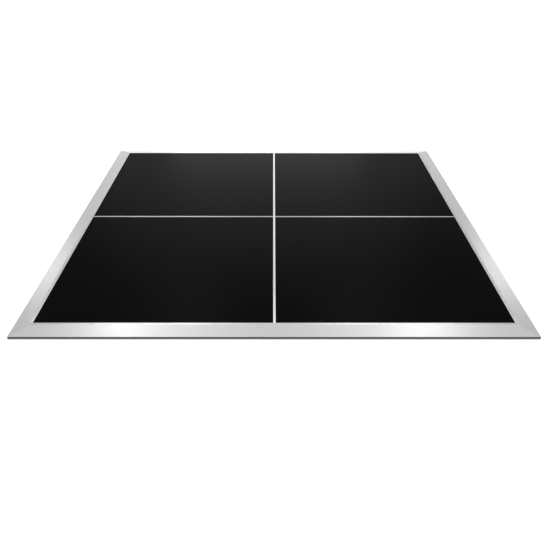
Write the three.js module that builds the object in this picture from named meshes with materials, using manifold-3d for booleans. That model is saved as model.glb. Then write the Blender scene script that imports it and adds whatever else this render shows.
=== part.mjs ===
// A modular portable floor for stages and dancing. Four square panels with black tops sit
// in aluminium frames and lock edge to edge by tongue and groove. A bevelled aluminium
// ramp runs along each side, mitred at the corners, and small set screws lock the joints.
// Millimetres, +Z up, front towards -Y, origin at the centre of the underside.

import * as THREE from 'three';
import { mergeVertices } from 'three/addons/utils/BufferGeometryUtils.js';
import Module from 'manifold-3d';

const wasm = await Module();
wasm.setup();

// ------------------------------------------------------------------ driving dimensions

const MODULE = 914.4;            // pitch from panel to panel, 3 ft
const HEIGHT = 22.2;             // floor to the top of the rims, 7/8 in
const SEAM_PLAY = 0.4;           // open joint line between neighbouring edges
const TOUCH_GAP = 0.3;           // clearance between pieces that rest on each other
const WALL = 3;                  // wall of the extruded sections
const CHAMBER_FLOOR = 2.4;       // below and above the hollow chambers

const GROOVE_RIM = 6;            // visible top of a grooved rail
const TONGUE_RIM = 2.6;          // visible top of a tongued rail
const GROOVE_DEPTH = 13;
const GROOVE_FLOOR = 8;
const GROOVE_ROOF = 14.2;
const TONGUE_REACH = 12;
const TONGUE_PLAY = 0.6;         // above and below a tongue in its groove
const TONGUE_CHAMFER = 1;        // along the nose
const TONGUE_LEAD = 6;           // taper at each end of the nose
const TONGUE_SETBACK = 18;       // tongues stop this far short of a panel corner

const SURFACE_RECESS = 0.3;      // the rims stand this far above the walking surface
const SURFACE_THICKNESS = 3;
const BACKING_THICKNESS = 2.4;
const FLANGE_REACH = 10;         // flange of a rail under the edge of the core

const FLAT_BORDER = 12.6;        // from the black field to the start of the slope
const RAMP_RUN = 60;             // level width of the slope
const RAMP_LIP = 11;             // height left at the outer edge
const RAMP_SKIN = 3;             // measured plumb
const RAMP_RIB = 2.5;
const RAMP_RIB_COUNT = 2;

const SCREW_RADIUS = 2;          // M4 set screw
const SCREW_LENGTH = 8;
const SCREW_CHAMFER = 0.4;
const SCREW_SINK = 0.2;          // below the rim when locked
const SCREW_INSET = 3;           // from the joint face to the screw's axis
const SOCKET_FLATS = 2;          // hexagon key size
const SOCKET_DEPTH = 2.5;
const ROUND_SEGMENTS = 16;

const BOARD_SCREW_HOLE = 2.3;    // radius of the holes for the screws that hold the core
const BOARD_SCREW_HEAD = 4.2;    // radius of their countersinks at the underside
const COUNTERSINK_DEPTH = 1.9;
const COUNTERSINK_SEGMENTS = 12;
const PILOT_RADIUS = 1.9;        // blind holes for the same screws in the core
const PILOT_DEPTH = 10;
const PILOT_SEGMENTS = 8;

const CUT_MARGIN = 1;            // cutting solids run this far past what they cut

// ------------------------------------------------------------------- worked-out values

const PANEL = MODULE - SEAM_PLAY;
const RAIL_WIDTH = GROOVE_DEPTH + WALL;
const TONGUE_BOTTOM = GROOVE_FLOOR + TONGUE_PLAY;
const TONGUE_TOP = GROOVE_ROOF - TONGUE_PLAY;
const SURFACE_TOP = HEIGHT - SURFACE_RECESS;
const LEDGE_TOP = SURFACE_TOP - SURFACE_THICKNESS - TOUCH_GAP;
const CORE_BOTTOM = BACKING_THICKNESS + TOUCH_GAP;

// A grooved rim is wider than a tongued one, so the joint line lies off centre and the
// bright strip between two black fields stays centred on the axes.
const SEAM_OFFSET = (TONGUE_RIM - GROOVE_RIM) / 2;
const FIELD_LOW = SEAM_OFFSET - MODULE + SEAM_PLAY / 2;
const FIELD_HIGH = SEAM_OFFSET + MODULE - SEAM_PLAY / 2;
const BLACK_HALF = FIELD_HIGH - TONGUE_RIM;

// Distances from the centre of the floor to the faces of the ramps.
const RAMP_OUTER = BLACK_HALF + FLAT_BORDER + RAMP_RUN;
const TONGUED_RAMP_FACE = -FIELD_LOW + SEAM_PLAY;
const GROOVED_RAMP_FACE = FIELD_HIGH + SEAM_PLAY;

// Each mitred end stands back from the 45 degree line by this much along the piece.
const MITRE_INSET = TOUCH_GAP / Math.SQRT2;

// ------------------------------------------------------------------------- materials

const aluminium = new THREE.MeshStandardMaterial({ color: 0xc8c9ca, roughness: 0.38, metalness: 0.9 });
const rampAluminium = new THREE.MeshStandardMaterial({ color: 0xbfc0c1, roughness: 0.42, metalness: 0.9 });
const blackLaminate = new THREE.MeshStandardMaterial({ color: 0x0e0e0f, roughness: 0.36, metalness: 0 });
const plywood = new THREE.MeshStandardMaterial({ color: 0xb48e60, roughness: 0.85, metalness: 0 });
const backingSheet = new THREE.MeshStandardMaterial({ color: 0x3a3836, roughness: 0.8, metalness: 0 });
const screwSteel = new THREE.MeshStandardMaterial({ color: 0xa9aaab, roughness: 0.35, metalness: 1 });

// --------------------------------------------------------------------- solid helpers

function solidOf(geometry) {
  const bare = geometry.clone();
  bare.deleteAttribute('normal');
  bare.deleteAttribute('uv');
  const merged = mergeVertices(bare);
  return new wasm.Manifold(new wasm.Mesh({
    numProp: 3,
    vertProperties: new Float32Array(merged.attributes.position.array),
    triVerts: new Uint32Array(merged.index.array),
  }));
}

function geometryOf(solid) {
  const { vertProperties, triVerts } = solid.getMesh();
  const geometry = new THREE.BufferGeometry();
  geometry.setAttribute('position', new THREE.BufferAttribute(vertProperties, 3));
  geometry.setIndex(new THREE.BufferAttribute(triVerts, 1));
  geometry.computeVertexNormals();
  return geometry;
}

function outline(points) {
  return points.map(([x, y]) => new THREE.Vector2(x, y));
}

// A section drawn in Y and Z, run along X for a given length each side of the centre.
function sectionAlongX(points, hollow, halfLength) {
  const shape = new THREE.Shape(outline(points));
  if (hollow) {
    shape.holes.push(new THREE.Path(outline(hollow)));
  }
  const run = new THREE.ExtrudeGeometry(shape, { depth: 2 * halfLength, bevelEnabled: false });
  const [x, y, z] = [new THREE.Vector3(1, 0, 0), new THREE.Vector3(0, 1, 0), new THREE.Vector3(0, 0, 1)];
  run.translate(0, 0, -halfLength);
  run.applyMatrix4(new THREE.Matrix4().makeBasis(y, z, x));
  return solidOf(run);
}

// A plan drawn in X and Y, standing a little taller than the floor at both ends.
function planPrism(points) {
  const shape = new THREE.Shape(outline(points));
  const prism = new THREE.ExtrudeGeometry(shape, { depth: HEIGHT + 2 * CUT_MARGIN, bevelEnabled: false });
  prism.translate(0, 0, -CUT_MARGIN);
  return solidOf(prism);
}

// A hole down through the top for a set screw, into the roof of a groove.
function screwHole(x, y) {
  const [bottom, top] = [GROOVE_ROOF - CUT_MARGIN, HEIGHT + CUT_MARGIN];
  const radius = SCREW_RADIUS + TOUCH_GAP;
  const hole = new THREE.CylinderGeometry(radius, radius, top - bottom, ROUND_SEGMENTS);
  hole.rotateX(Math.PI / 2);
  hole.translate(x, y, (bottom + top) / 2);
  return solidOf(hole);
}

// A hole up through a flange, widened at the underside for a countersunk head.
function countersink(x, y) {
  const [shaft, head, sides] = [BOARD_SCREW_HOLE, BOARD_SCREW_HEAD, COUNTERSINK_SEGMENTS];
  const slope = (head - shaft) / COUNTERSINK_DEPTH;
  const mouth = head + CUT_MARGIN * slope;
  const seat = new THREE.CylinderGeometry(shaft, mouth, COUNTERSINK_DEPTH + CUT_MARGIN, sides);
  seat.translate(0, (COUNTERSINK_DEPTH - CUT_MARGIN) / 2, 0);
  const bore = new THREE.CylinderGeometry(shaft, shaft, 2 * BACKING_THICKNESS, sides);
  bore.translate(0, BACKING_THICKNESS, 0);
  for (const geometry of [seat, bore]) {
    geometry.rotateX(Math.PI / 2);
    geometry.translate(x, y, 0);
  }
  return solidOf(seat).add(solidOf(bore));
}

function slab(low, high, bottom, top) {
  const side = high - low;
  const box = new THREE.BoxGeometry(side, side, top - bottom);
  box.translate((low + high) / 2, (low + high) / 2, (bottom + top) / 2);
  return box;
}

function piece(name, geometry, material) {
  const mesh = new THREE.Mesh(geometry, material);
  mesh.name = name;
  return mesh;
}

// ------------------------------------------------------------- tongue and groove outline

// Sections are drawn with the joint face plumb at y = face and the neighbour on the side
// that `out` points to: -1 for a rail of a panel, +1 for a ramp on the front of the floor.

// From the top of the face down to the floor, around the tongue.
function tongueFace(face, out) {
  const nose = face + out * TONGUE_REACH;
  const shoulder = nose - out * TONGUE_CHAMFER;
  return [
    [face, TONGUE_TOP],
    [shoulder, TONGUE_TOP],
    [nose, TONGUE_TOP - TONGUE_CHAMFER],
    [nose, TONGUE_BOTTOM + TONGUE_CHAMFER],
    [shoulder, TONGUE_BOTTOM],
    [face, TONGUE_BOTTOM],
  ];
}

// The same walk around the groove.
function grooveFace(face, out) {
  const back = face - out * GROOVE_DEPTH;
  return [
    [face, GROOVE_ROOF],
    [back, GROOVE_ROOF],
    [back, GROOVE_FLOOR],
    [face, GROOVE_FLOOR],
  ];
}

// Plan of one stretch of tongue, from its right end to its left end.
function tonguePlan(right, left, root, nose) {
  return [
    [right, root],
    [right - TONGUE_LEAD, nose],
    [left + TONGUE_LEAD, nose],
    [left, root],
  ];
}

// ---------------------------------------------------------------------- panel rails

// Rails are made for the front edge of a panel whose centre is the origin.
const RAIL_FACE = -PANEL / 2;
const RAIL_BACK = RAIL_FACE + RAIL_WIDTH;
const RAIL_INNER = RAIL_BACK + FLANGE_REACH;
const PANEL_SCREWS = [-PANEL / 4, PANEL / 4];
const BOARD_SCREWS = [-PANEL / 3, 0, PANEL / 3];
const FLANGE_MIDDLE = (RAIL_BACK + RAIL_INNER) / 2;

function railSection(rim, joint) {
  return [
    [RAIL_FACE, 0],
    [RAIL_INNER, 0],
    [RAIL_INNER, BACKING_THICKNESS],
    [RAIL_BACK, BACKING_THICKNESS],
    [RAIL_BACK, LEDGE_TOP],
    [RAIL_FACE + rim, LEDGE_TOP],
    [RAIL_FACE + rim, HEIGHT],
    [RAIL_FACE, HEIGHT],
    ...joint,
  ];
}

function chamber(bottom, top) {
  const [near, far] = [RAIL_FACE + WALL, RAIL_BACK - WALL];
  return [[near, bottom], [near, top], [far, top], [far, bottom]];
}

// The same holes for board screws go through the flange of every rail.
function drillFlange(rail) {
  return BOARD_SCREWS.reduce((left, x) => left.subtract(countersink(x, FLANGE_MIDDLE)), rail);
}

// A grooved rim is wider than a tongued one. Where the two meet at a corner, its end runs past
// the mitre as far as the tongued rim, a little above that rail's ledge.
function rimEnd(hand) {
  const [start, end, width] = [TONGUE_RIM + TOUCH_GAP, 2 * GROOVE_RIM, GROOVE_RIM - TONGUE_RIM - TOUCH_GAP];
  const [bottom, top] = [LEDGE_TOP + TOUCH_GAP, HEIGHT];
  const box = new THREE.BoxGeometry(end - start, width, top - bottom);
  box.translate(hand * (PANEL - start - end) / 2, RAIL_FACE + GROOVE_RIM - width / 2, (bottom + top) / 2);
  return solidOf(box);
}

// A grooved rail meets another grooved one at one end and a tongued one at the end that `hand`
// names: -1 left, +1 right as seen from outside.
function groovedRail(hand) {
  const section = railSection(GROOVE_RIM, grooveFace(RAIL_FACE, -1));
  const hollow = chamber(CHAMBER_FLOOR, GROOVE_FLOOR - CHAMBER_FLOOR);
  const plan = planPrism([
    [RAIL_FACE + MITRE_INSET, RAIL_FACE],
    [-RAIL_FACE - MITRE_INSET, RAIL_FACE],
    [-RAIL_INNER - MITRE_INSET, RAIL_INNER],
    [RAIL_INNER + MITRE_INSET, RAIL_INNER],
  ]);
  let rail = sectionAlongX(section, hollow, PANEL / 2).intersect(plan).add(rimEnd(hand));
  for (const x of PANEL_SCREWS) {
    rail = rail.subtract(screwHole(x, RAIL_FACE + SCREW_INSET));
  }
  return geometryOf(drillFlange(rail));
}

function tonguedRail() {
  const section = railSection(TONGUE_RIM, tongueFace(RAIL_FACE, -1));
  const hollow = chamber(CHAMBER_FLOOR, LEDGE_TOP - CHAMBER_FLOOR);
  const tongueEnd = PANEL / 2 - TONGUE_SETBACK;
  const plan = planPrism([
    [-RAIL_FACE - MITRE_INSET, RAIL_FACE],
    ...tonguePlan(tongueEnd, -tongueEnd, RAIL_FACE, RAIL_FACE - TONGUE_REACH),
    [RAIL_FACE + MITRE_INSET, RAIL_FACE],
    [RAIL_INNER + MITRE_INSET, RAIL_INNER],
    [-RAIL_INNER - MITRE_INSET, RAIL_INNER],
  ]);
  return geometryOf(drillFlange(sectionAlongX(section, hollow, PANEL / 2).intersect(plan)));
}

// ------------------------------------------------------------------------- ramps

// Ramps are made for the front of the floor, whose centre is the origin.

// The outer outline from the joint face over the top to the lip, then back along the
// underside, which is open between the ribs.
function rampSection(face, firstWall, joint) {
  const crest = -(BLACK_HALF + FLAT_BORDER);
  const slope = (HEIGHT - RAMP_LIP) / RAMP_RUN;
  const skinBottom = (y) => HEIGHT - RAMP_SKIN - Math.max(0, crest - y) * slope;
  const lipInside = -RAMP_OUTER + WALL;
  const bay = (firstWall - lipInside - RAMP_RIB_COUNT * RAMP_RIB) / (RAMP_RIB_COUNT + 1);
  const underside = [];
  for (let i = 0; i <= RAMP_RIB_COUNT; i += 1) {
    const outer = lipInside + i * (bay + RAMP_RIB);
    const inner = outer + bay;
    underside.push([outer, 0], [outer, skinBottom(outer)], [inner, skinBottom(inner)], [inner, 0]);
  }
  return [
    [crest, HEIGHT],
    [-RAMP_OUTER, RAMP_LIP],
    [-RAMP_OUTER, 0],
    ...underside,
    [face, 0],
    ...joint.reverse(),
    [face, HEIGHT],
  ];
}

// A tongued ramp has one stretch of tongue for each of the two panels beside it.
function tonguedRamp() {
  const face = -TONGUED_RAMP_FACE;
  const nose = face + TONGUE_REACH;
  const outerEnd = FIELD_HIGH - TONGUE_SETBACK;
  const innerEnd = SEAM_PLAY / 2 - SEAM_OFFSET + TONGUE_SETBACK;
  const section = rampSection(face, face - WALL, tongueFace(face, 1));
  const plan = planPrism([
    [-RAMP_OUTER + MITRE_INSET, -RAMP_OUTER],
    [RAMP_OUTER - MITRE_INSET, -RAMP_OUTER],
    [-face - MITRE_INSET, face],
    ...tonguePlan(outerEnd, innerEnd, face, nose),
    ...tonguePlan(-innerEnd, -outerEnd, face, nose),
    [face + MITRE_INSET, face],
  ]);
  return geometryOf(sectionAlongX(section, null, RAMP_OUTER).intersect(plan));
}

// Set screws of a grooved ramp stand over the tongues of both panels beside it.
const PANEL_CENTRES = [FIELD_LOW + PANEL / 2, FIELD_HIGH - PANEL / 2];
const RAMP_SCREWS = PANEL_CENTRES.flatMap((centre) => PANEL_SCREWS.map((x) => centre + x));

// A grooved ramp meets a tongued one at the end that `hand` names: -1 left, +1 right as
// seen from outside. That end is square beside the panel corner before its mitre starts.
function groovedRamp(hand) {
  const face = -GROOVED_RAMP_FACE;
  const section = rampSection(face, face - RAIL_WIDTH, grooveFace(face, 1));
  const plan = planPrism([
    [-hand * (RAMP_OUTER - MITRE_INSET), -RAMP_OUTER],
    [hand * (RAMP_OUTER - MITRE_INSET), -RAMP_OUTER],
    [-hand * FIELD_LOW, FIELD_LOW - MITRE_INSET],
    [-hand * FIELD_LOW, face],
    [-hand * (-face - MITRE_INSET), face],
  ]);
  let ramp = sectionAlongX(section, null, RAMP_OUTER).intersect(plan);
  for (const x of RAMP_SCREWS) {
    ramp = ramp.subtract(screwHole(-hand * x, face - SCREW_INSET));
  }
  return geometryOf(ramp);
}

// ------------------------------------------------------------------------- screws

// An M4 set screw with its axis on Z, at its locked height.
function setScrew() {
  const round = new THREE.Shape().absarc(0, 0, SCREW_RADIUS - SCREW_CHAMFER, 0, 2 * Math.PI);
  const shank = new THREE.ExtrudeGeometry(round, {
    depth: SCREW_LENGTH - 2 * SCREW_CHAMFER,
    bevelThickness: SCREW_CHAMFER,
    bevelSize: SCREW_CHAMFER,
    bevelSegments: 1,
    curveSegments: ROUND_SEGMENTS / 2,     // an arc gets two sides for each of these
  });
  const top = HEIGHT - SCREW_SINK;
  shank.translate(0, 0, top - SCREW_LENGTH + SCREW_CHAMFER);
  const cornerRadius = SOCKET_FLATS / Math.sqrt(3);
  const socket = new THREE.CylinderGeometry(cornerRadius, cornerRadius, 2 * SOCKET_DEPTH, 6);
  socket.rotateX(Math.PI / 2);
  socket.translate(0, 0, top);
  return geometryOf(solidOf(shank).subtract(solidOf(socket)));
}

// ------------------------------------------------------------------------- assembly

// Sides turn a piece made for the front by this much about +Z.
const TURN = { front: 0, right: Math.PI / 2, rear: Math.PI, left: -Math.PI / 2 };

// The core board has a blind pilot hole over every hole in the flanges around it.
function drilledCore() {
  const depth = PILOT_DEPTH + CUT_MARGIN;
  const pilot = new THREE.CylinderGeometry(PILOT_RADIUS, PILOT_RADIUS, depth, PILOT_SEGMENTS);
  pilot.rotateX(Math.PI / 2);
  pilot.translate(0, FLANGE_MIDDLE, CORE_BOTTOM - CUT_MARGIN + depth / 2);
  let core = solidOf(slab(RAIL_BACK + TOUCH_GAP, -RAIL_BACK - TOUCH_GAP, CORE_BOTTOM, LEDGE_TOP));
  for (const turn of Object.values(TURN)) {
    for (const x of BOARD_SCREWS) {
      core = core.subtract(solidOf(pilot.clone().translate(x, 0, 0).rotateZ(turn)));
    }
  }
  return geometryOf(core);
}

const parts = {
  groovedRails: { front: groovedRail(1), left: groovedRail(-1) },
  tonguedRail: tonguedRail(),
  screw: setScrew(),
  surface: slab(RAIL_FACE + GROOVE_RIM + TOUCH_GAP, -RAIL_FACE - TONGUE_RIM - TOUCH_GAP,
    SURFACE_TOP - SURFACE_THICKNESS, SURFACE_TOP),
  core: drilledCore(),
  backing: slab(RAIL_INNER + TOUCH_GAP, -RAIL_INNER - TOUCH_GAP, 0, BACKING_THICKNESS),
};

// One side of a panel or one ramp, turned into place with its screws.
function makeSide(name, side, body, screwName, screwXs, screwY) {
  const group = new THREE.Group();
  group.rotation.z = TURN[side];
  group.add(piece(name, body.geometry, body.material));
  screwXs.forEach((x, index) => {
    const screw = piece(`${screwName}_${index + 1}`, parts.screw, screwSteel);
    screw.position.set(x, screwY, 0);
    group.add(screw);
  });
  return group;
}

function makePanel(name, centreX, centreY) {
  const panel = new THREE.Group();
  panel.position.set(centreX, centreY, 0);
  panel.add(piece(`${name}_surface`, parts.surface, blackLaminate));
  panel.add(piece(`${name}_core`, parts.core, plywood));
  panel.add(piece(`${name}_backing`, parts.backing, backingSheet));
  const screwY = RAIL_FACE + SCREW_INSET;
  for (const side of ['front', 'left']) {
    const rail = { geometry: parts.groovedRails[side], material: aluminium };
    panel.add(makeSide(`${name}_rail_${side}`, side, rail, `${name}_screw_${side}`, PANEL_SCREWS, screwY));
  }
  for (const side of ['right', 'rear']) {
    const rail = { geometry: parts.tonguedRail, material: aluminium };
    panel.add(makeSide(`${name}_rail_${side}`, side, rail, '', [], 0));
  }
  return panel;
}

const floor = new THREE.Group();
const [LOW_CENTRE, HIGH_CENTRE] = PANEL_CENTRES;
floor.add(makePanel('front_left', LOW_CENTRE, LOW_CENTRE));
floor.add(makePanel('front_right', HIGH_CENTRE, LOW_CENTRE));
floor.add(makePanel('rear_left', LOW_CENTRE, HIGH_CENTRE));
floor.add(makePanel('rear_right', HIGH_CENTRE, HIGH_CENTRE));

const tonguedRampGeometry = tonguedRamp();
for (const side of ['front', 'left']) {
  const ramp = { geometry: tonguedRampGeometry, material: rampAluminium };
  floor.add(makeSide(`${side}_ramp`, side, ramp, '', [], 0));
}
const handOfSide = { right: -1, rear: 1 };
for (const side of ['right', 'rear']) {
  const hand = handOfSide[side];
  const ramp = { geometry: groovedRamp(hand), material: rampAluminium };
  const screwXs = RAMP_SCREWS.map((x) => -hand * x).sort((a, b) => a - b);
  const screwY = -GROOVED_RAMP_FACE - SCREW_INSET;
  floor.add(makeSide(`${side}_ramp`, side, ramp, `${side}_ramp_screw`, screwXs, screwY));
}

export default floor;
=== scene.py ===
"""Looks for the modular portable floor: brushed aluminium ramps and frames, satin black panels,
threaded screws in the seams and underside, and a plain white studio. Metres, +Z up, front to -Y."""

import math

import bmesh
import bpy
from mathutils import Matrix, Vector


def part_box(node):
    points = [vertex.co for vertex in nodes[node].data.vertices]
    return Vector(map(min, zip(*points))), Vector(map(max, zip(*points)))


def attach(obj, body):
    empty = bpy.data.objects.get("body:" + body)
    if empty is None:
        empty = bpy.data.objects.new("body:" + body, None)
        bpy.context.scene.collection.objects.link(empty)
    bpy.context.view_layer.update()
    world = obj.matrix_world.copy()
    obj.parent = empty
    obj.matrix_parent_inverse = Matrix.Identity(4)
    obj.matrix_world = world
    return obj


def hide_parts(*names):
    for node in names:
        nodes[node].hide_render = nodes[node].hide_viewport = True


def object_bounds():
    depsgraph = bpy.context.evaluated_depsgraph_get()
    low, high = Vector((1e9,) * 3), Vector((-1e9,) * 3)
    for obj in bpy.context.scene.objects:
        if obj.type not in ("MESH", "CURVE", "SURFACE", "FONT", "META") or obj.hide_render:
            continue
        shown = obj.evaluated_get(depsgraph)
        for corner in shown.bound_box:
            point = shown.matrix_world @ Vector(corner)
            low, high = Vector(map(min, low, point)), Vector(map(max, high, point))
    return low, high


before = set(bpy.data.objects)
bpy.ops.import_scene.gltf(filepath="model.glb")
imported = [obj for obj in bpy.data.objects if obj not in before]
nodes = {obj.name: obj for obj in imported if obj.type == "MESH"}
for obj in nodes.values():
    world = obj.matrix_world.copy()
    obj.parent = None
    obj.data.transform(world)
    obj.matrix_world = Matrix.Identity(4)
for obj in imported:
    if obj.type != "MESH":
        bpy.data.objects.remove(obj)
cad_low, cad_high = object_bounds()

MM = 0.001
PANELS = ("front_left", "front_right", "rear_left", "rear_right")
RAMP_AXES = {"front_ramp": "X", "rear_ramp": "X", "left_ramp": "Y", "right_ramp": "Y"}
RAIL_AXES = {"front": "X", "rear": "X", "left": "Y", "right": "Y"}

MODULE = 914.4 * MM          # pitch from panel to panel
PANEL = 914.0 * MM           # side of one panel
TOUCH_GAP = 0.3 * MM         # clearance between pieces that rest on each other
RAMP_RUN = 60 * MM           # level width of the slope

scene = bpy.context.scene


# ------------------------------------------------------------------ shader building blocks


class Shader:
    """A Principled material and short ways to add nodes to it."""

    def __init__(self, name):
        self.material = bpy.data.materials.new(name)
        self.material.use_nodes = True
        self.tree = self.material.node_tree
        self.surface = next(n for n in self.tree.nodes if n.type == "BSDF_PRINCIPLED")

    def add(self, kind, **settings):
        node = self.tree.nodes.new("ShaderNode" + kind)
        for key, value in settings.items():
            setattr(node, key, value)
        return node

    def link(self, source, target):
        self.tree.links.new(source, target)

    def feed(self, socket, value):
        """Links a socket to another node's output, or sets it to a plain value."""
        if isinstance(value, bpy.types.NodeSocket):
            self.link(value, socket)
        else:
            socket.default_value = value

    def set(self, **values):
        """Constant values, straight on the sockets of the surface."""
        for key, value in values.items():
            self.surface.inputs[key.replace("_", " ")].default_value = value

    def drive(self, **sources):
        """Values that vary over the surface."""
        for key, source in sources.items():
            self.link(source, self.surface.inputs[key.replace("_", " ")])

    def coordinates(self, scale=(1.0, 1.0, 1.0), turn=0.0):
        """Object coordinates turned about Z, then multiplied by a scale along each axis."""
        place = self.add("TexCoord").outputs["Object"]
        if turn:
            spin = self.add("VectorRotate", rotation_type="Z_AXIS")
            spin.inputs["Angle"].default_value = turn
            self.link(place, spin.inputs["Vector"])
            place = spin.outputs["Vector"]
        mapping = self.add("Mapping")
        mapping.inputs["Scale"].default_value = scale
        self.link(place, mapping.inputs["Vector"])
        return mapping.outputs["Vector"]

    def distance(self, axis):
        """How far a point lies from the centre of the floor along one axis."""
        split = self.add("SeparateXYZ")
        self.link(self.coordinates(), split.inputs["Vector"])
        return self.math("ABSOLUTE", split.outputs[axis])

    def noise(self, scale, detail=3.0, roughness=0.55, turn=0.0):
        """A grey noise whose cells are 1/scale metres long along each axis."""
        texture = self.add("TexNoise")
        texture.inputs["Scale"].default_value = 1.0
        texture.inputs["Detail"].default_value = detail
        texture.inputs["Roughness"].default_value = roughness
        self.link(self.coordinates(scale, turn), texture.inputs["Vector"])
        return texture.outputs["Fac"]

    def math(self, operation, first, second=0.0):
        node = self.add("Math", operation=operation)
        self.feed(node.inputs[0], first)
        self.feed(node.inputs[1], second)
        return node.outputs["Value"]

    def remap(self, value, low, high, from_low=0.0, from_high=1.0):
        """Maps from_low..from_high to low..high and holds the ends."""
        node = self.add("MapRange")
        self.link(value, node.inputs["Value"])
        node.inputs["From Min"].default_value = from_low
        node.inputs["From Max"].default_value = from_high
        self.feed(node.inputs["To Min"], low)
        self.feed(node.inputs["To Max"], high)
        return node.outputs["Result"]

    def band(self, value, centre, half_width):
        """1 where value is at centre, falling to 0 half_width to each side."""
        off_centre = self.math("ABSOLUTE", self.math("SUBTRACT", value, centre))
        return self.remap(off_centre, 1.0, 0.0, 0.0, half_width)

    def blend(self, factor, first, second):
        """A colour that goes from first to second as factor goes from 0 to 1."""
        node = self.add("Mix", data_type="RGBA")
        self.feed(node.inputs["Factor"], factor)
        colour_sockets = [s for s in node.inputs if s.type == "RGBA"]
        for socket, value in zip(colour_sockets, (first, second)):
            self.feed(socket, (*value, 1.0) if isinstance(value, tuple) else value)
        return next(s for s in node.outputs if s.type == "RGBA")

    def bump(self, height, distance, strength=1.0):
        node = self.add("Bump")
        node.inputs["Distance"].default_value = distance
        node.inputs["Strength"].default_value = strength
        self.link(height, node.inputs["Height"])
        self.link(node.outputs["Normal"], self.surface.inputs["Normal"])


def grey(value):
    return (value, value, value)


# ----------------------------------------------------------------------------- materials

# Brushing runs along one axis. Textures in cells per metre, along it and across it.
GRAIN = (6.0, 2600.0)
STREAKS = (1.6, 120.0)
SCRATCHES = (9.0, 700.0)

GRAIN_SHARE = 0.6                     # the rest of the brushing is streaks
GRAIN_HEIGHT = 0.004 * MM
BRUSHED_SHADES = (0.93, 1.06)         # darkest and brightest brushing, in parts of the tone
SCRATCH_TURN = math.radians(50)
SCRATCH_LEVELS = (0.70, 0.76)         # only noise above these shows as a scratch
SCRATCH_SHADE = 1.25
SCRATCH_STRENGTH = 0.25
BRUSHED_SPREAD = 0.05                 # of the roughness, with the brushing
CLOUDY_SPREAD = 0.02                  # of the roughness, in wide patches
RAIL_FINISH = (0.34, 0.6)             # roughness and anisotropy
RAMP_FINISH = (0.38, 0.7)


def along(axis, cells):
    """A texture scale that is coarse along the brushing axis and fine across it."""
    lengthwise, across = cells
    return (lengthwise, across, across) if axis == "X" else (across, lengthwise, across)


def brushed_aluminium(name, axis, tone, roughness, anisotropy):
    """Clear-anodised aluminium, brushed along axis. Its highlights stretch across the brushing.

    Returns the shader, its colour and its roughness, for a caller that adds more to them.
    """
    shader = Shader(name)
    grain = shader.noise(along(axis, GRAIN), detail=4.0)
    streaks = shader.noise(along(axis, STREAKS), detail=2.0)
    both = shader.math("ADD", shader.math("MULTIPLY", grain, GRAIN_SHARE),
                       shader.math("MULTIPLY", streaks, 1 - GRAIN_SHARE))
    hairs = shader.noise(SCRATCHES + (1.0,), turn=SCRATCH_TURN)
    scratch = shader.remap(hairs, 0.0, 1.0, *SCRATCH_LEVELS)
    clouds = shader.noise((5.0, 5.0, 5.0), detail=4.0)
    dark, bright = BRUSHED_SHADES
    brushed = shader.blend(both, grey(tone * dark), grey(tone * bright))
    colour = shader.blend(shader.math("MULTIPLY", scratch, SCRATCH_STRENGTH),
                          brushed, grey(min(1.0, tone * SCRATCH_SHADE)))
    polish = shader.math("ADD", shader.remap(both, roughness - BRUSHED_SPREAD, roughness + BRUSHED_SPREAD),
                         shader.remap(clouds, -CLOUDY_SPREAD, CLOUDY_SPREAD))
    shader.bump(grain, GRAIN_HEIGHT, 0.35)
    shader.set(Metallic=1.0, Anisotropic=anisotropy, Anisotropic_Rotation=0.25)
    brushing = shader.add("CombineXYZ")
    brushing.inputs[axis].default_value = 1.0
    shader.drive(Base_Color=colour, Roughness=polish, Tangent=brushing.outputs["Vector"])
    return shader, colour, polish


def rail_aluminium(place, axis, tone):
    shader, _, _ = brushed_aluminium(f"rail_aluminium_{place}", axis, tone, *RAIL_FINISH)
    return shader


# The ramp's upright outer face: its dark colour is painted shade; its dull roughness is the metal's own.
LIP_PAINTED_SHADE = 0.165
LIP_SHADES = (0.8, 1.2)               # in parts of the lip's painted shade
LIP_ROUGHNESS = 0.62
LIP_EDGE = 0.35 * MM                  # how far in from the outer face the painted shade reaches
# Crest and lower edge of a ramp, lightened in patches: partly wear by feet, partly painted highlight.
WEAR_AND_HIGHLIGHT_WIDTH = 1.2 * MM
WEAR_AND_HIGHLIGHT_PATCHES = (0.42, 0.62)           # wear and painted highlight start and are full at these levels of a noise
WEAR_AND_HIGHLIGHT_STRENGTH = 0.5
WEAR_AND_HIGHLIGHT_SHADE = 1.35


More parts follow.
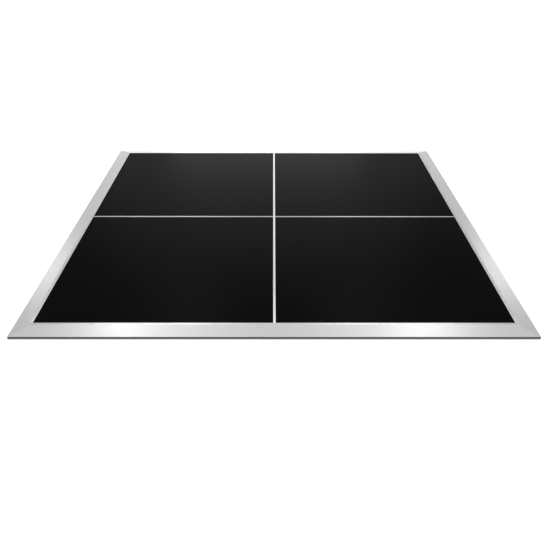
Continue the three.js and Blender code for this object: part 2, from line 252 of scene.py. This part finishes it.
def ramp_aluminium(ramp, axis, tone, outer):
    """A brushed ramp whose upright outer face is dull, its dark colour painted shade, and whose level crest
    and lower edge are lightened in patches, partly worn by feet and partly painted highlight. outer is how
    far that face lies from the centre."""
    shader, colour, polish = brushed_aluminium(f"{ramp}_aluminium", axis, tone, *RAMP_FINISH)
    reach = shader.distance("Y" if axis == "X" else "X")
    patches = shader.remap(shader.noise((40.0, 40.0, 40.0), detail=5.0), 0.0, 1.0, *WEAR_AND_HIGHLIGHT_PATCHES)
    crest = outer - RAMP_RUN
    # Lightened crest and lower edge: wear by feet and painted highlight together.
    edges = shader.math("ADD", shader.remap(reach, 1.0, 0.0, crest, crest + WEAR_AND_HIGHLIGHT_WIDTH),
                        shader.band(reach, outer - WEAR_AND_HIGHLIGHT_WIDTH, WEAR_AND_HIGHLIGHT_WIDTH))
    wear_and_highlight = shader.math("MULTIPLY", shader.math("MULTIPLY", edges, patches), WEAR_AND_HIGHLIGHT_STRENGTH)
    rubbed_and_highlit = shader.blend(wear_and_highlight, colour, grey(min(1.0, tone * WEAR_AND_HIGHLIGHT_SHADE)))
    # Painted shade on the upright outer face, streaked along the brushing.
    lip = shader.remap(reach, 0.0, 1.0, outer - LIP_EDGE, outer - LIP_EDGE / 2)
    lip_shade_streaks = shader.noise(along(axis, STREAKS), detail=4.0)
    lip_shade_colour = shader.blend(lip_shade_streaks, *(grey(LIP_PAINTED_SHADE * shade) for shade in LIP_SHADES))
    shader.drive(Base_Color=shader.blend(lip, rubbed_and_highlit, lip_shade_colour),
                 Roughness=shader.remap(lip, polish, LIP_ROUGHNESS))
    return shader


LAMINATE_SHADES = (0.0001, 0.0004)    # of the black, in clouds
LAMINATE_GLOSS = (0.27, 0.35)         # roughness, in the same clouds
LAMINATE_IOR = 1.077                  # low, for a faint reflection
DUST_SHADE = 0.0018
DUSTY_BORDER = 30 * MM                # from the edge of a panel inwards
SCUFF_SHADE = 0.005
SCUFF_TURNS = (35, 110, 160)
SCUFF_LEVELS = (0.72, 0.78)


def black_laminate():
    """Satin black laminate: a fine pebble, cloudy gloss, hairline scuffs, duller at its edges."""
    shader = Shader("black_laminate")
    pebble = shader.noise((900.0, 900.0, 900.0), detail=2.0)
    clouds = shader.noise((3.0, 3.0, 3.0), detail=5.0, roughness=0.6)
    scuffs = None
    for turn in SCUFF_TURNS:
        hairs = shader.noise((5.0, 900.0, 1.0), detail=2.0, turn=math.radians(turn))
        layer = shader.remap(hairs, 0.0, 1.0, *SCUFF_LEVELS)
        scuffs = layer if scuffs is None else shader.math("MAXIMUM", scuffs, layer)
    sides = []
    for axis in "XY":
        off_centre = shader.math("SUBTRACT", shader.distance(axis), MODULE / 2)
        sides.append(shader.math("ABSOLUTE", off_centre))
    border = shader.remap(shader.math("MAXIMUM", *sides), 0.0, 1.0, PANEL / 2 - DUSTY_BORDER, PANEL / 2)
    base = shader.blend(clouds, *map(grey, LAMINATE_SHADES))
    dusty = shader.blend(shader.math("MULTIPLY", shader.math("MULTIPLY", border, clouds), 0.5),
                         base, grey(DUST_SHADE))
    scuffed = shader.blend(shader.math("MULTIPLY", scuffs, 0.4), dusty, grey(SCUFF_SHADE))
    gloss = shader.math("ADD", shader.remap(clouds, *LAMINATE_GLOSS), shader.math("MULTIPLY", scuffs, 0.08))
    shader.drive(Base_Color=scuffed, Roughness=gloss)
    shader.bump(pebble, 0.01 * MM, 0.15)
    shader.set(IOR=LAMINATE_IOR)
    return shader


# A band pattern of scale 1 turns through WAVE_RADIANS in a metre. The waves below give the length
# of one radian, so the plies repeat every 8.8 mm and the press mark every 13.8 mm.
WAVE_RADIANS = 20
PLY_WAVE = 1.4 * MM
PRESS_WAVE = 2.2 * MM

# Colours of the darkest and the lightest part of each board.
PLYWOOD_SHADES = ((0.42, 0.27, 0.14), (0.60, 0.43, 0.25))
PLY_LINE = (0.20, 0.11, 0.05)
FILM_SHADES = ((0.036, 0.031, 0.028), (0.058, 0.051, 0.046))
DRAG_MARK = (0.10, 0.095, 0.09)


def plywood():
    """Birch plywood: long grain and darker plies seen on the edge."""
    shader = Shader("plywood_core")
    grain = shader.noise((3.0, 90.0, 90.0), detail=5.0)
    plies = shader.add("TexWave", wave_type="BANDS", bands_direction="Z")
    plies.inputs["Scale"].default_value = 1.0 / (WAVE_RADIANS * PLY_WAVE)
    shader.link(shader.coordinates(), plies.inputs["Vector"])
    board = shader.blend(grain, *PLYWOOD_SHADES)
    shaded = shader.blend(shader.math("MULTIPLY", plies.outputs["Fac"], 0.35), board, PLY_LINE)
    shader.drive(Base_Color=shaded, Roughness=shader.remap(grain, 0.65, 0.85))
    shader.bump(grain, 0.1 * MM, 0.4)
    return shader


def backing_sheet():
    """Dark phenolic film on the underside: a wire-mesh press mark, stains and drag marks."""
    shader = Shader("backing_sheet")
    threads = []
    for direction in "XY":
        wave = shader.add("TexWave", wave_type="BANDS", bands_direction=direction)
        wave.inputs["Scale"].default_value = 1.0 / (WAVE_RADIANS * PRESS_WAVE)
        wave.inputs["Distortion"].default_value = 0.3
        shader.link(shader.coordinates(), wave.inputs["Vector"])
        threads.append(wave.outputs["Fac"])
    press = shader.math("MAXIMUM", *threads)
    stains = shader.noise((4.0, 4.0, 4.0), detail=5.0)
    drag = shader.remap(shader.noise((2.0, 260.0, 1.0), turn=math.radians(20)), 0.0, 1.0, 0.62, 0.72)
    film = shader.blend(stains, *FILM_SHADES)
    shader.drive(Base_Color=shader.blend(shader.math("MULTIPLY", drag, 0.5), film, DRAG_MARK),
                 Roughness=shader.remap(stains, 0.5, 0.7))
    shader.bump(press, 0.08 * MM, 0.5)
    return shader


def screw_steel(name, tone):
    """Turned steel with darker marks of handling."""
    shader = Shader(name)
    marks = shader.noise((900.0, 900.0, 900.0), detail=3.0)
    shader.drive(Base_Color=shader.blend(marks, grey(tone * 0.85), grey(tone * 1.15)),
                 Roughness=shader.remap(marks, 0.28, 0.42))
    shader.bump(marks, 0.01 * MM, 0.3)
    shader.set(Metallic=1.0)
    return shader


# ------------------------------------------------------------------- CAD nodes that stay

RAIL_EDGE = 0.25 * MM                 # rounding of the sharp edges
RAMP_EDGE = 0.3 * MM
EDGE_SEGMENTS = 2
SHARP_EDGE = math.radians(35)
SAME_PLANE = math.radians(1)
SAME_POINT = 0.001 * MM

# Brightness of the metal, as painted light and shade: one aluminium in lit and shaded copies. Seams by
# their direction, outer borders and ramps by their side.
SEAM_PAINTED_LIGHT = {"X": 0.62, "Y": 0.94}
BORDER_PAINTED_LIGHT = {"front": 0.77, "rear": 0.97, "left": 0.95, "right": 0.95}
RAMP_PAINTED_LIGHT = {"front_ramp": 0.655, "rear_ramp": 0.80, "left_ramp": 0.655, "right_ramp": 0.655}


def dress(name, shader, edge=0.0):
    """Gives a CAD node its material and, where edge is set, rounds its sharp edges by that much."""
    node = nodes[name]
    if not node.material_slots:
        node.data.materials.append(None)
    for material_slot in node.material_slots:
        material_slot.material = shader.material
    if edge:
        weld = node.modifiers.new("weld", "WELD")
        weld.merge_threshold = SAME_POINT
        flat = node.modifiers.new("flat", "DECIMATE")
        flat.decimate_type = "DISSOLVE"
        flat.angle_limit = SAME_PLANE
        bevel = node.modifiers.new("edges", "BEVEL")
        bevel.width = edge
        bevel.segments = EDGE_SEGMENTS
        bevel.limit_method = "ANGLE"
        bevel.angle_limit = SHARP_EDGE
        bevel.loop_slide = False


def dress_floor():
    black = black_laminate()
    ply = plywood()
    backing = backing_sheet()
    # Seam and border metal are one aluminium; their brightness differs only by painted light and shade.
    seam_metal = {axis: rail_aluminium(f"seam_{axis}", axis, tone) for axis, tone in SEAM_PAINTED_LIGHT.items()}
    border_metal = {}
    for side, tone in BORDER_PAINTED_LIGHT.items():
        border_metal[side] = rail_aluminium(f"border_{side}", RAIL_AXES[side], tone)
    for panel in PANELS:
        dress(f"{panel}_surface", black, RAIL_EDGE)
        dress(f"{panel}_core", ply)
        dress(f"{panel}_backing", backing, RAIL_EDGE)
        for side, axis in RAIL_AXES.items():
            metal = border_metal[side] if side in panel.split("_") else seam_metal[axis]
            dress(f"{panel}_rail_{side}", metal, RAIL_EDGE)
    for ramp, axis in RAMP_AXES.items():
        # Each ramp's brightness is painted light and shade.
        metal = ramp_aluminium(ramp, axis, RAMP_PAINTED_LIGHT[ramp], cad_high.y)
        dress(ramp, metal, RAMP_EDGE)


# ---------------------------------------------------------------------------- round meshes


def circle(radius):
    """A ring's outline: the same radius at every angle."""
    return lambda angle: radius


def hexagon(flats):
    """A ring's outline: a hexagon measured across its flats."""
    sector = math.pi / 3
    return lambda angle: flats / 2 / math.cos(angle % sector - sector / 2)


def cross(length, width):
    """A ring's outline: a cross of four arms, each this long from the centre and this wide."""
    quarter = math.pi / 2

    def radius_at(angle):
        off_arm = abs((angle + quarter / 2) % quarter - quarter / 2)
        return min(length / math.cos(off_arm), width / 2 / max(math.sin(off_arm), 1e-6))
    return radius_at


def thread(crest, depth, pitch, height):
    """A ring's outline at one height of a right-handed thread."""
    def radius_at(angle):
        phase = height / pitch - angle / (2 * math.pi)
        return crest - depth * (0.5 - 0.5 * math.cos(2 * math.pi * phase))
    return radius_at


RINGS_PER_TURN = 8
SHARP_TURNED_EDGE = math.radians(32)


def thread_rings(low, high, crest, depth, pitch):
    """Rings up a threaded stretch. The thread runs out over half a turn at both ends."""
    count = round((high - low) / pitch * RINGS_PER_TURN)
    rings = []
    for i in range(count + 1):
        height = low + (high - low) * i / count
        fade = min(1.0, min(height - low, high - height) / (pitch / 2))
        rings.append((height, thread(crest - depth * (1 - fade), depth * fade, pitch, height)))
    return rings


def ring_mesh(name, rings, sides):
    """A closed mesh through rings of (height, outline), capped at the first and the last."""
    shape = bmesh.new()
    loops = []
    for height, radius_at in rings:
        loop = []
        for step in range(sides):
            angle = 2 * math.pi * step / sides
            radius = radius_at(angle)
            loop.append(shape.verts.new((radius * math.cos(angle), radius * math.sin(angle), height)))
        loops.append(loop)
    for lower, upper in zip(loops, loops[1:]):
        for step in range(sides):
            after = (step + 1) % sides
            shape.faces.new((lower[step], lower[after], upper[after], upper[step]))
    shape.faces.new(reversed(loops[0]))
    shape.faces.new(loops[-1])
    mesh = bpy.data.meshes.new(name)
    shape.to_mesh(mesh)
    shape.free()
    mesh.shade_smooth()
    mesh.set_sharp_from_angle(angle=SHARP_TURNED_EDGE)
    return mesh


# ------------------------------------------------------------------------------ set screws

SET_SCREW_SIDES = 36
SET_SCREW_PITCH = 0.7 * MM
SET_SCREW_THREAD = 0.36 * MM
SET_SCREW_CHAMFER = 0.4 * MM
SET_SCREW_PLAY = 0.02 * MM            # the crests stay this far inside the plain shank
SOCKET_FLATS = 2 * MM
SOCKET_DEPTH = 2.5 * MM
SOCKET_MOUTH = 0.12 * MM              # chamfer around the socket
DRILL_RADIUS = 0.8 * MM               # of the cone left at the bottom of the socket
DRILL_TIP = 0.4 * MM
CUP_RADIUS = 1.1 * MM
CUP_WALL = 0.15 * MM
CUP_DEPTH = 0.45 * MM
CUP_FLOOR = 0.15 * MM
TIP_RADIUS = 0.1 * MM                 # of every point, so that its cap isn't a single vertex
SET_SCREW_KEY_STEP = 0.7              # radians from one screw's socket to the next


def set_screw_mesh(radius, length):
    """An M4 set screw standing on its cup point, with a hexagon socket in its top."""
    crest = radius - SET_SCREW_PLAY
    root = crest - SET_SCREW_THREAD
    rings = [
        (CUP_DEPTH, circle(CUP_FLOOR)),
        (0.0, circle(CUP_RADIUS - CUP_WALL)),
        (0.0, circle(CUP_RADIUS)),
    ]
    rings += thread_rings(SET_SCREW_CHAMFER, length - SET_SCREW_CHAMFER, crest, SET_SCREW_THREAD,
                          SET_SCREW_PITCH)
    socket_floor = length - SOCKET_DEPTH
    rings += [
        (length, circle(root)),
        (length, hexagon(SOCKET_FLATS + 2 * SOCKET_MOUTH)),
        (length - SOCKET_MOUTH, hexagon(SOCKET_FLATS)),
        (socket_floor, hexagon(SOCKET_FLATS)),
        (socket_floor, circle(DRILL_RADIUS)),
        (socket_floor - DRILL_TIP, circle(TIP_RADIUS)),
    ]
    return ring_mesh("set_screw", rings, SET_SCREW_SIDES)


def add_piece(name, mesh, shader, body, place, turn=0.0):
    """Puts one copy of a mesh in place, turned about +Z, riding on a body."""
    piece = bpy.data.objects.new(name, mesh)
    scene.collection.objects.link(piece)
    if not mesh.materials:
        mesh.materials.append(shader.material)
    piece.matrix_world = Matrix.Translation(place) @ Matrix.Rotation(turn, 4, "Z")
    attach(piece, body)
    return piece


def add_set_screws():
    steel = screw_steel("set_screw_steel", 0.50)
    screws = sorted(name for name in nodes if "_screw" in name)
    low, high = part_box(screws[0])
    mesh = set_screw_mesh((high.x - low.x) / 2, high.z - low.z)
    for count, name in enumerate(screws):
        low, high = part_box(name)
        centre = ((low.x + high.x) / 2, (low.y + high.y) / 2, low.z)
        turn = SET_SCREW_KEY_STEP * count
        screw = add_piece(f"{name}_threaded", mesh, steel, name, centre, turn)
        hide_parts(name)


# ---------------------------------------------------------------------------- board screws

BOARD_SCREW_SIDES = 48
BOARD_SCREWS_PER_SIDE = 3
BOARD_SCREW_SINK = 0.1 * MM
BOARD_SCREW_TIP = 12.2 * MM
BOARD_HEAD_RADIUS = 3.85 * MM
BOARD_HEAD_DEPTH = 1.75 * MM
BOARD_HEAD_EDGE = 0.15 * MM           # rounding of the head's rim
BOARD_NECK_RADIUS = 2.0 * MM
BOARD_NECK_HEIGHT = 0.3 * MM
BOARD_THREAD_START = 2.4 * MM
BOARD_TAPER = 3 * MM                  # plain point above the thread
BOARD_CREST = 1.7 * MM
BOARD_THREAD = 0.45 * MM
BOARD_PITCH = 1.8 * MM
RECESS_DEPTH = 1.5 * MM
RECESS_MOUTH = (2.2 * MM, 0.9 * MM)   # length of an arm and its width, at the open end
RECESS_FLOOR = (0.9 * MM, 0.5 * MM)
BOARD_SCREW_KEY_STEP = 0.9            # radians from one screw's recess to the next


def board_screw_mesh():
    """A countersunk wood screw, head down, its cross recess open to the floor below."""
    root = BOARD_CREST - BOARD_THREAD
    neck = BOARD_SCREW_SINK + BOARD_HEAD_DEPTH
    rings = [
        (RECESS_DEPTH, cross(*RECESS_FLOOR)),
        (BOARD_SCREW_SINK, cross(*RECESS_MOUTH)),
        (BOARD_SCREW_SINK, circle(BOARD_HEAD_RADIUS - BOARD_HEAD_EDGE)),
        (BOARD_SCREW_SINK + BOARD_HEAD_EDGE, circle(BOARD_HEAD_RADIUS)),
        (neck, circle(BOARD_NECK_RADIUS)),
        (neck + BOARD_NECK_HEIGHT, circle(root)),
    ]
    rings += thread_rings(BOARD_THREAD_START, BOARD_SCREW_TIP - BOARD_TAPER, BOARD_CREST, BOARD_THREAD,
                          BOARD_PITCH)
    rings.append((BOARD_SCREW_TIP, circle(TIP_RADIUS)))
    return ring_mesh("board_screw", rings, BOARD_SCREW_SIDES)


def add_board_screws():
    """Three screws up through the flange of every rail, into the edge of the core board."""
    zinc = screw_steel("board_screw_zinc", 0.42)
    mesh = board_screw_mesh()
    count = 0
    for panel in PANELS:
        core_low, core_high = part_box(f"{panel}_core")
        backing_low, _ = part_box(f"{panel}_backing")
        centre = (core_low + core_high) / 2
        # The flange starts and ends TOUCH_GAP outside the core and the backing.
        flange = centre.x - (core_low.x + backing_low.x) / 2 + TOUCH_GAP
        for quarter, side in enumerate(("front", "right", "rear", "left")):
            turn = Matrix.Rotation(quarter * math.pi / 2, 3, "Z")
            for number in range(BOARD_SCREWS_PER_SIDE):
                along_side = (number - 1) * PANEL / 3
                place = turn @ Vector((along_side, -flange, 0))
                place += Vector((centre.x, centre.y, 0))
                name = f"{panel}_board_screw_{side}_{number + 1}"
                key_turn = BOARD_SCREW_KEY_STEP * count
                add_piece(name, mesh, zinc, f"{panel}_panel", place, key_turn)
                count += 1


# -------------------------------------------------------------------------------- studio

FLOOR_SIDE = 60.0
FLOOR_GLOW = 0.5
BACK_GLOW = 1.2
BACK_GLOW_START = 0.98                # in Y, at about the rear edge of the object
BACK_GLOW_FULL = 1.1

# Strength of the surround by height of its direction, from the horizon (0) to overhead (1).
HORIZON_GLOW = 1.4
HORIZON_TOP = 0.25
MIDDLE_GLOW = 0.22
CEILING_GLOW = 0.98
CEILING_START = 0.67
SKY_BLUR = 0.06

# Each lamp: place, size and power. All of them face the middle of the floor.
SINGLE_LAMPS = {
    "back_low": ((-0.08, 3.5, 0.5), (2.0, 0.6), 7.4),
    "back_tall": ((-0.15, 4.5, 2.2), (4.0, 1.2), 10.8),
}
MIRRORED_LAMPS = {
    "back_corner": ((3.4, 3.0, 0.5), (0.5, 0.5), 9.0),
    "back_high": ((0.95, 3.0, 3.1), (0.6, 0.5), 5.8),
    "top": ((1.585, 1.8, 3.2), (0.54, 0.54), 10.0),
}


def make_floor():
    """A white floor that fills the view. Its own glow keeps it clear of grey shadows, and is
    stronger behind the object, as in front of a lit backdrop."""
    half = FLOOR_SIDE / 2
    mesh = bpy.data.meshes.new("studio_floor")
    corners = [(-half, -half, 0), (half, -half, 0), (half, half, 0), (-half, half, 0)]
    mesh.from_pydata(corners, [], [(0, 1, 2, 3)])
    floor = bpy.data.objects.new("studio_floor", mesh)
    scene.collection.objects.link(floor)
    shader = Shader("studio_white")
    shader.set(Base_Color=(0.9, 0.9, 0.9, 1.0), Roughness=0.9, Specular_IOR_Level=0.0)
    shader.set(Emission_Color=(1.0, 1.0, 1.0, 1.0))
    split = shader.add("SeparateXYZ")
    shader.link(shader.coordinates(), split.inputs["Vector"])
    shader.drive(Emission_Strength=shader.remap(split.outputs["Y"], FLOOR_GLOW, BACK_GLOW,
                                                BACK_GLOW_START, BACK_GLOW_FULL))
    mesh.materials.append(shader.material)


def make_world():
    """A pale surround: bright at the horizon and overhead, dim between, and white to look at."""
    world = bpy.data.worlds.new("studio")
    scene.world = world
    world.use_nodes = True
    tree = world.node_tree
    background = next(n for n in tree.nodes if n.type == "BACKGROUND")
    background.inputs["Color"].default_value = (1, 1, 1, 1)
    direction = tree.nodes.new("ShaderNodeTexCoord")
    split = tree.nodes.new("ShaderNodeSeparateXYZ")
    tree.links.new(direction.outputs["Generated"], split.inputs["Vector"])
    total = tree.nodes.new("ShaderNodeMath")
    total.operation = "ADD"
    steps = (
        (HORIZON_TOP - SKY_BLUR, HORIZON_TOP + SKY_BLUR, HORIZON_GLOW, MIDDLE_GLOW),
        (CEILING_START - SKY_BLUR, CEILING_START + SKY_BLUR, 0.0, CEILING_GLOW - MIDDLE_GLOW),
    )
    for (start, end, below, above), socket in zip(steps, total.inputs):
        step = tree.nodes.new("ShaderNodeMapRange")
        step.inputs["From Min"].default_value = start
        step.inputs["From Max"].default_value = end
        step.inputs["To Min"].default_value = below
        step.inputs["To Max"].default_value = above
        tree.links.new(split.outputs["Z"], step.inputs["Value"])
        tree.links.new(step.outputs["Result"], socket)
    rays = tree.nodes.new("ShaderNodeLightPath")
    shown = tree.nodes.new("ShaderNodeMix")
    tree.links.new(rays.outputs["Is Camera Ray"], shown.inputs["Factor"])
    tree.links.new(total.outputs["Value"], shown.inputs["A"])
    shown.inputs["B"].default_value = 1.0
    tree.links.new(shown.outputs["Result"], background.inputs["Strength"])


def make_lamp(name, place, size, power):
    """A rectangular lamp at place that faces the middle of the floor."""
    light = bpy.data.lights.new(name, "AREA")
    light.shape = "RECTANGLE"
    light.size, light.size_y = size
    light.energy = power
    lamp = bpy.data.objects.new(name, light)
    scene.collection.objects.link(lamp)
    lamp.location = place
    lamp.rotation_euler = (-Vector(place)).to_track_quat("-Z", "Y").to_euler()


def make_lights():
    for name, (place, size, power) in SINGLE_LAMPS.items():
        make_lamp(name, place, size, power)
    for name, ((x, y, z), size, power) in MIRRORED_LAMPS.items():
        make_lamp(f"{name}_left", (-x, y, z), size, power)
        make_lamp(f"{name}_right", (x, y, z), size, power)


CAMERA_PLACE = (-0.0044, -2.777, 1.3767)
CAMERA_PITCH = math.radians(31.476)
CAMERA_YAW = math.radians(0.195)
CAMERA_ROLL = math.radians(0.128)
CAMERA_LENS = 39.932                  # millimetres, like the sensor's width
CAMERA_SENSOR = 36.0
CAMERA_CLIP = (0.05, 200.0)


def make_camera():
    data = bpy.data.cameras.new("camera")
    data.lens = CAMERA_LENS
    data.sensor_width = CAMERA_SENSOR
    data.clip_start, data.clip_end = CAMERA_CLIP
    camera = bpy.data.objects.new("camera", data)
    scene.collection.objects.link(camera)
    turn = Matrix.Rotation(-CAMERA_YAW, 4, "Z")
    tilt = Matrix.Rotation(math.pi / 2 - CAMERA_PITCH, 4, "X")
    roll = Matrix.Rotation(CAMERA_ROLL, 4, "Z")
    camera.matrix_world = Matrix.Translation(CAMERA_PLACE) @ turn @ tilt @ roll
    scene.camera = camera


dress_floor()
add_set_screws()
add_board_screws()
make_floor()
make_world()
make_lights()
make_camera()

scene.view_settings.view_transform = "Standard"
scene.view_settings.look = "None"
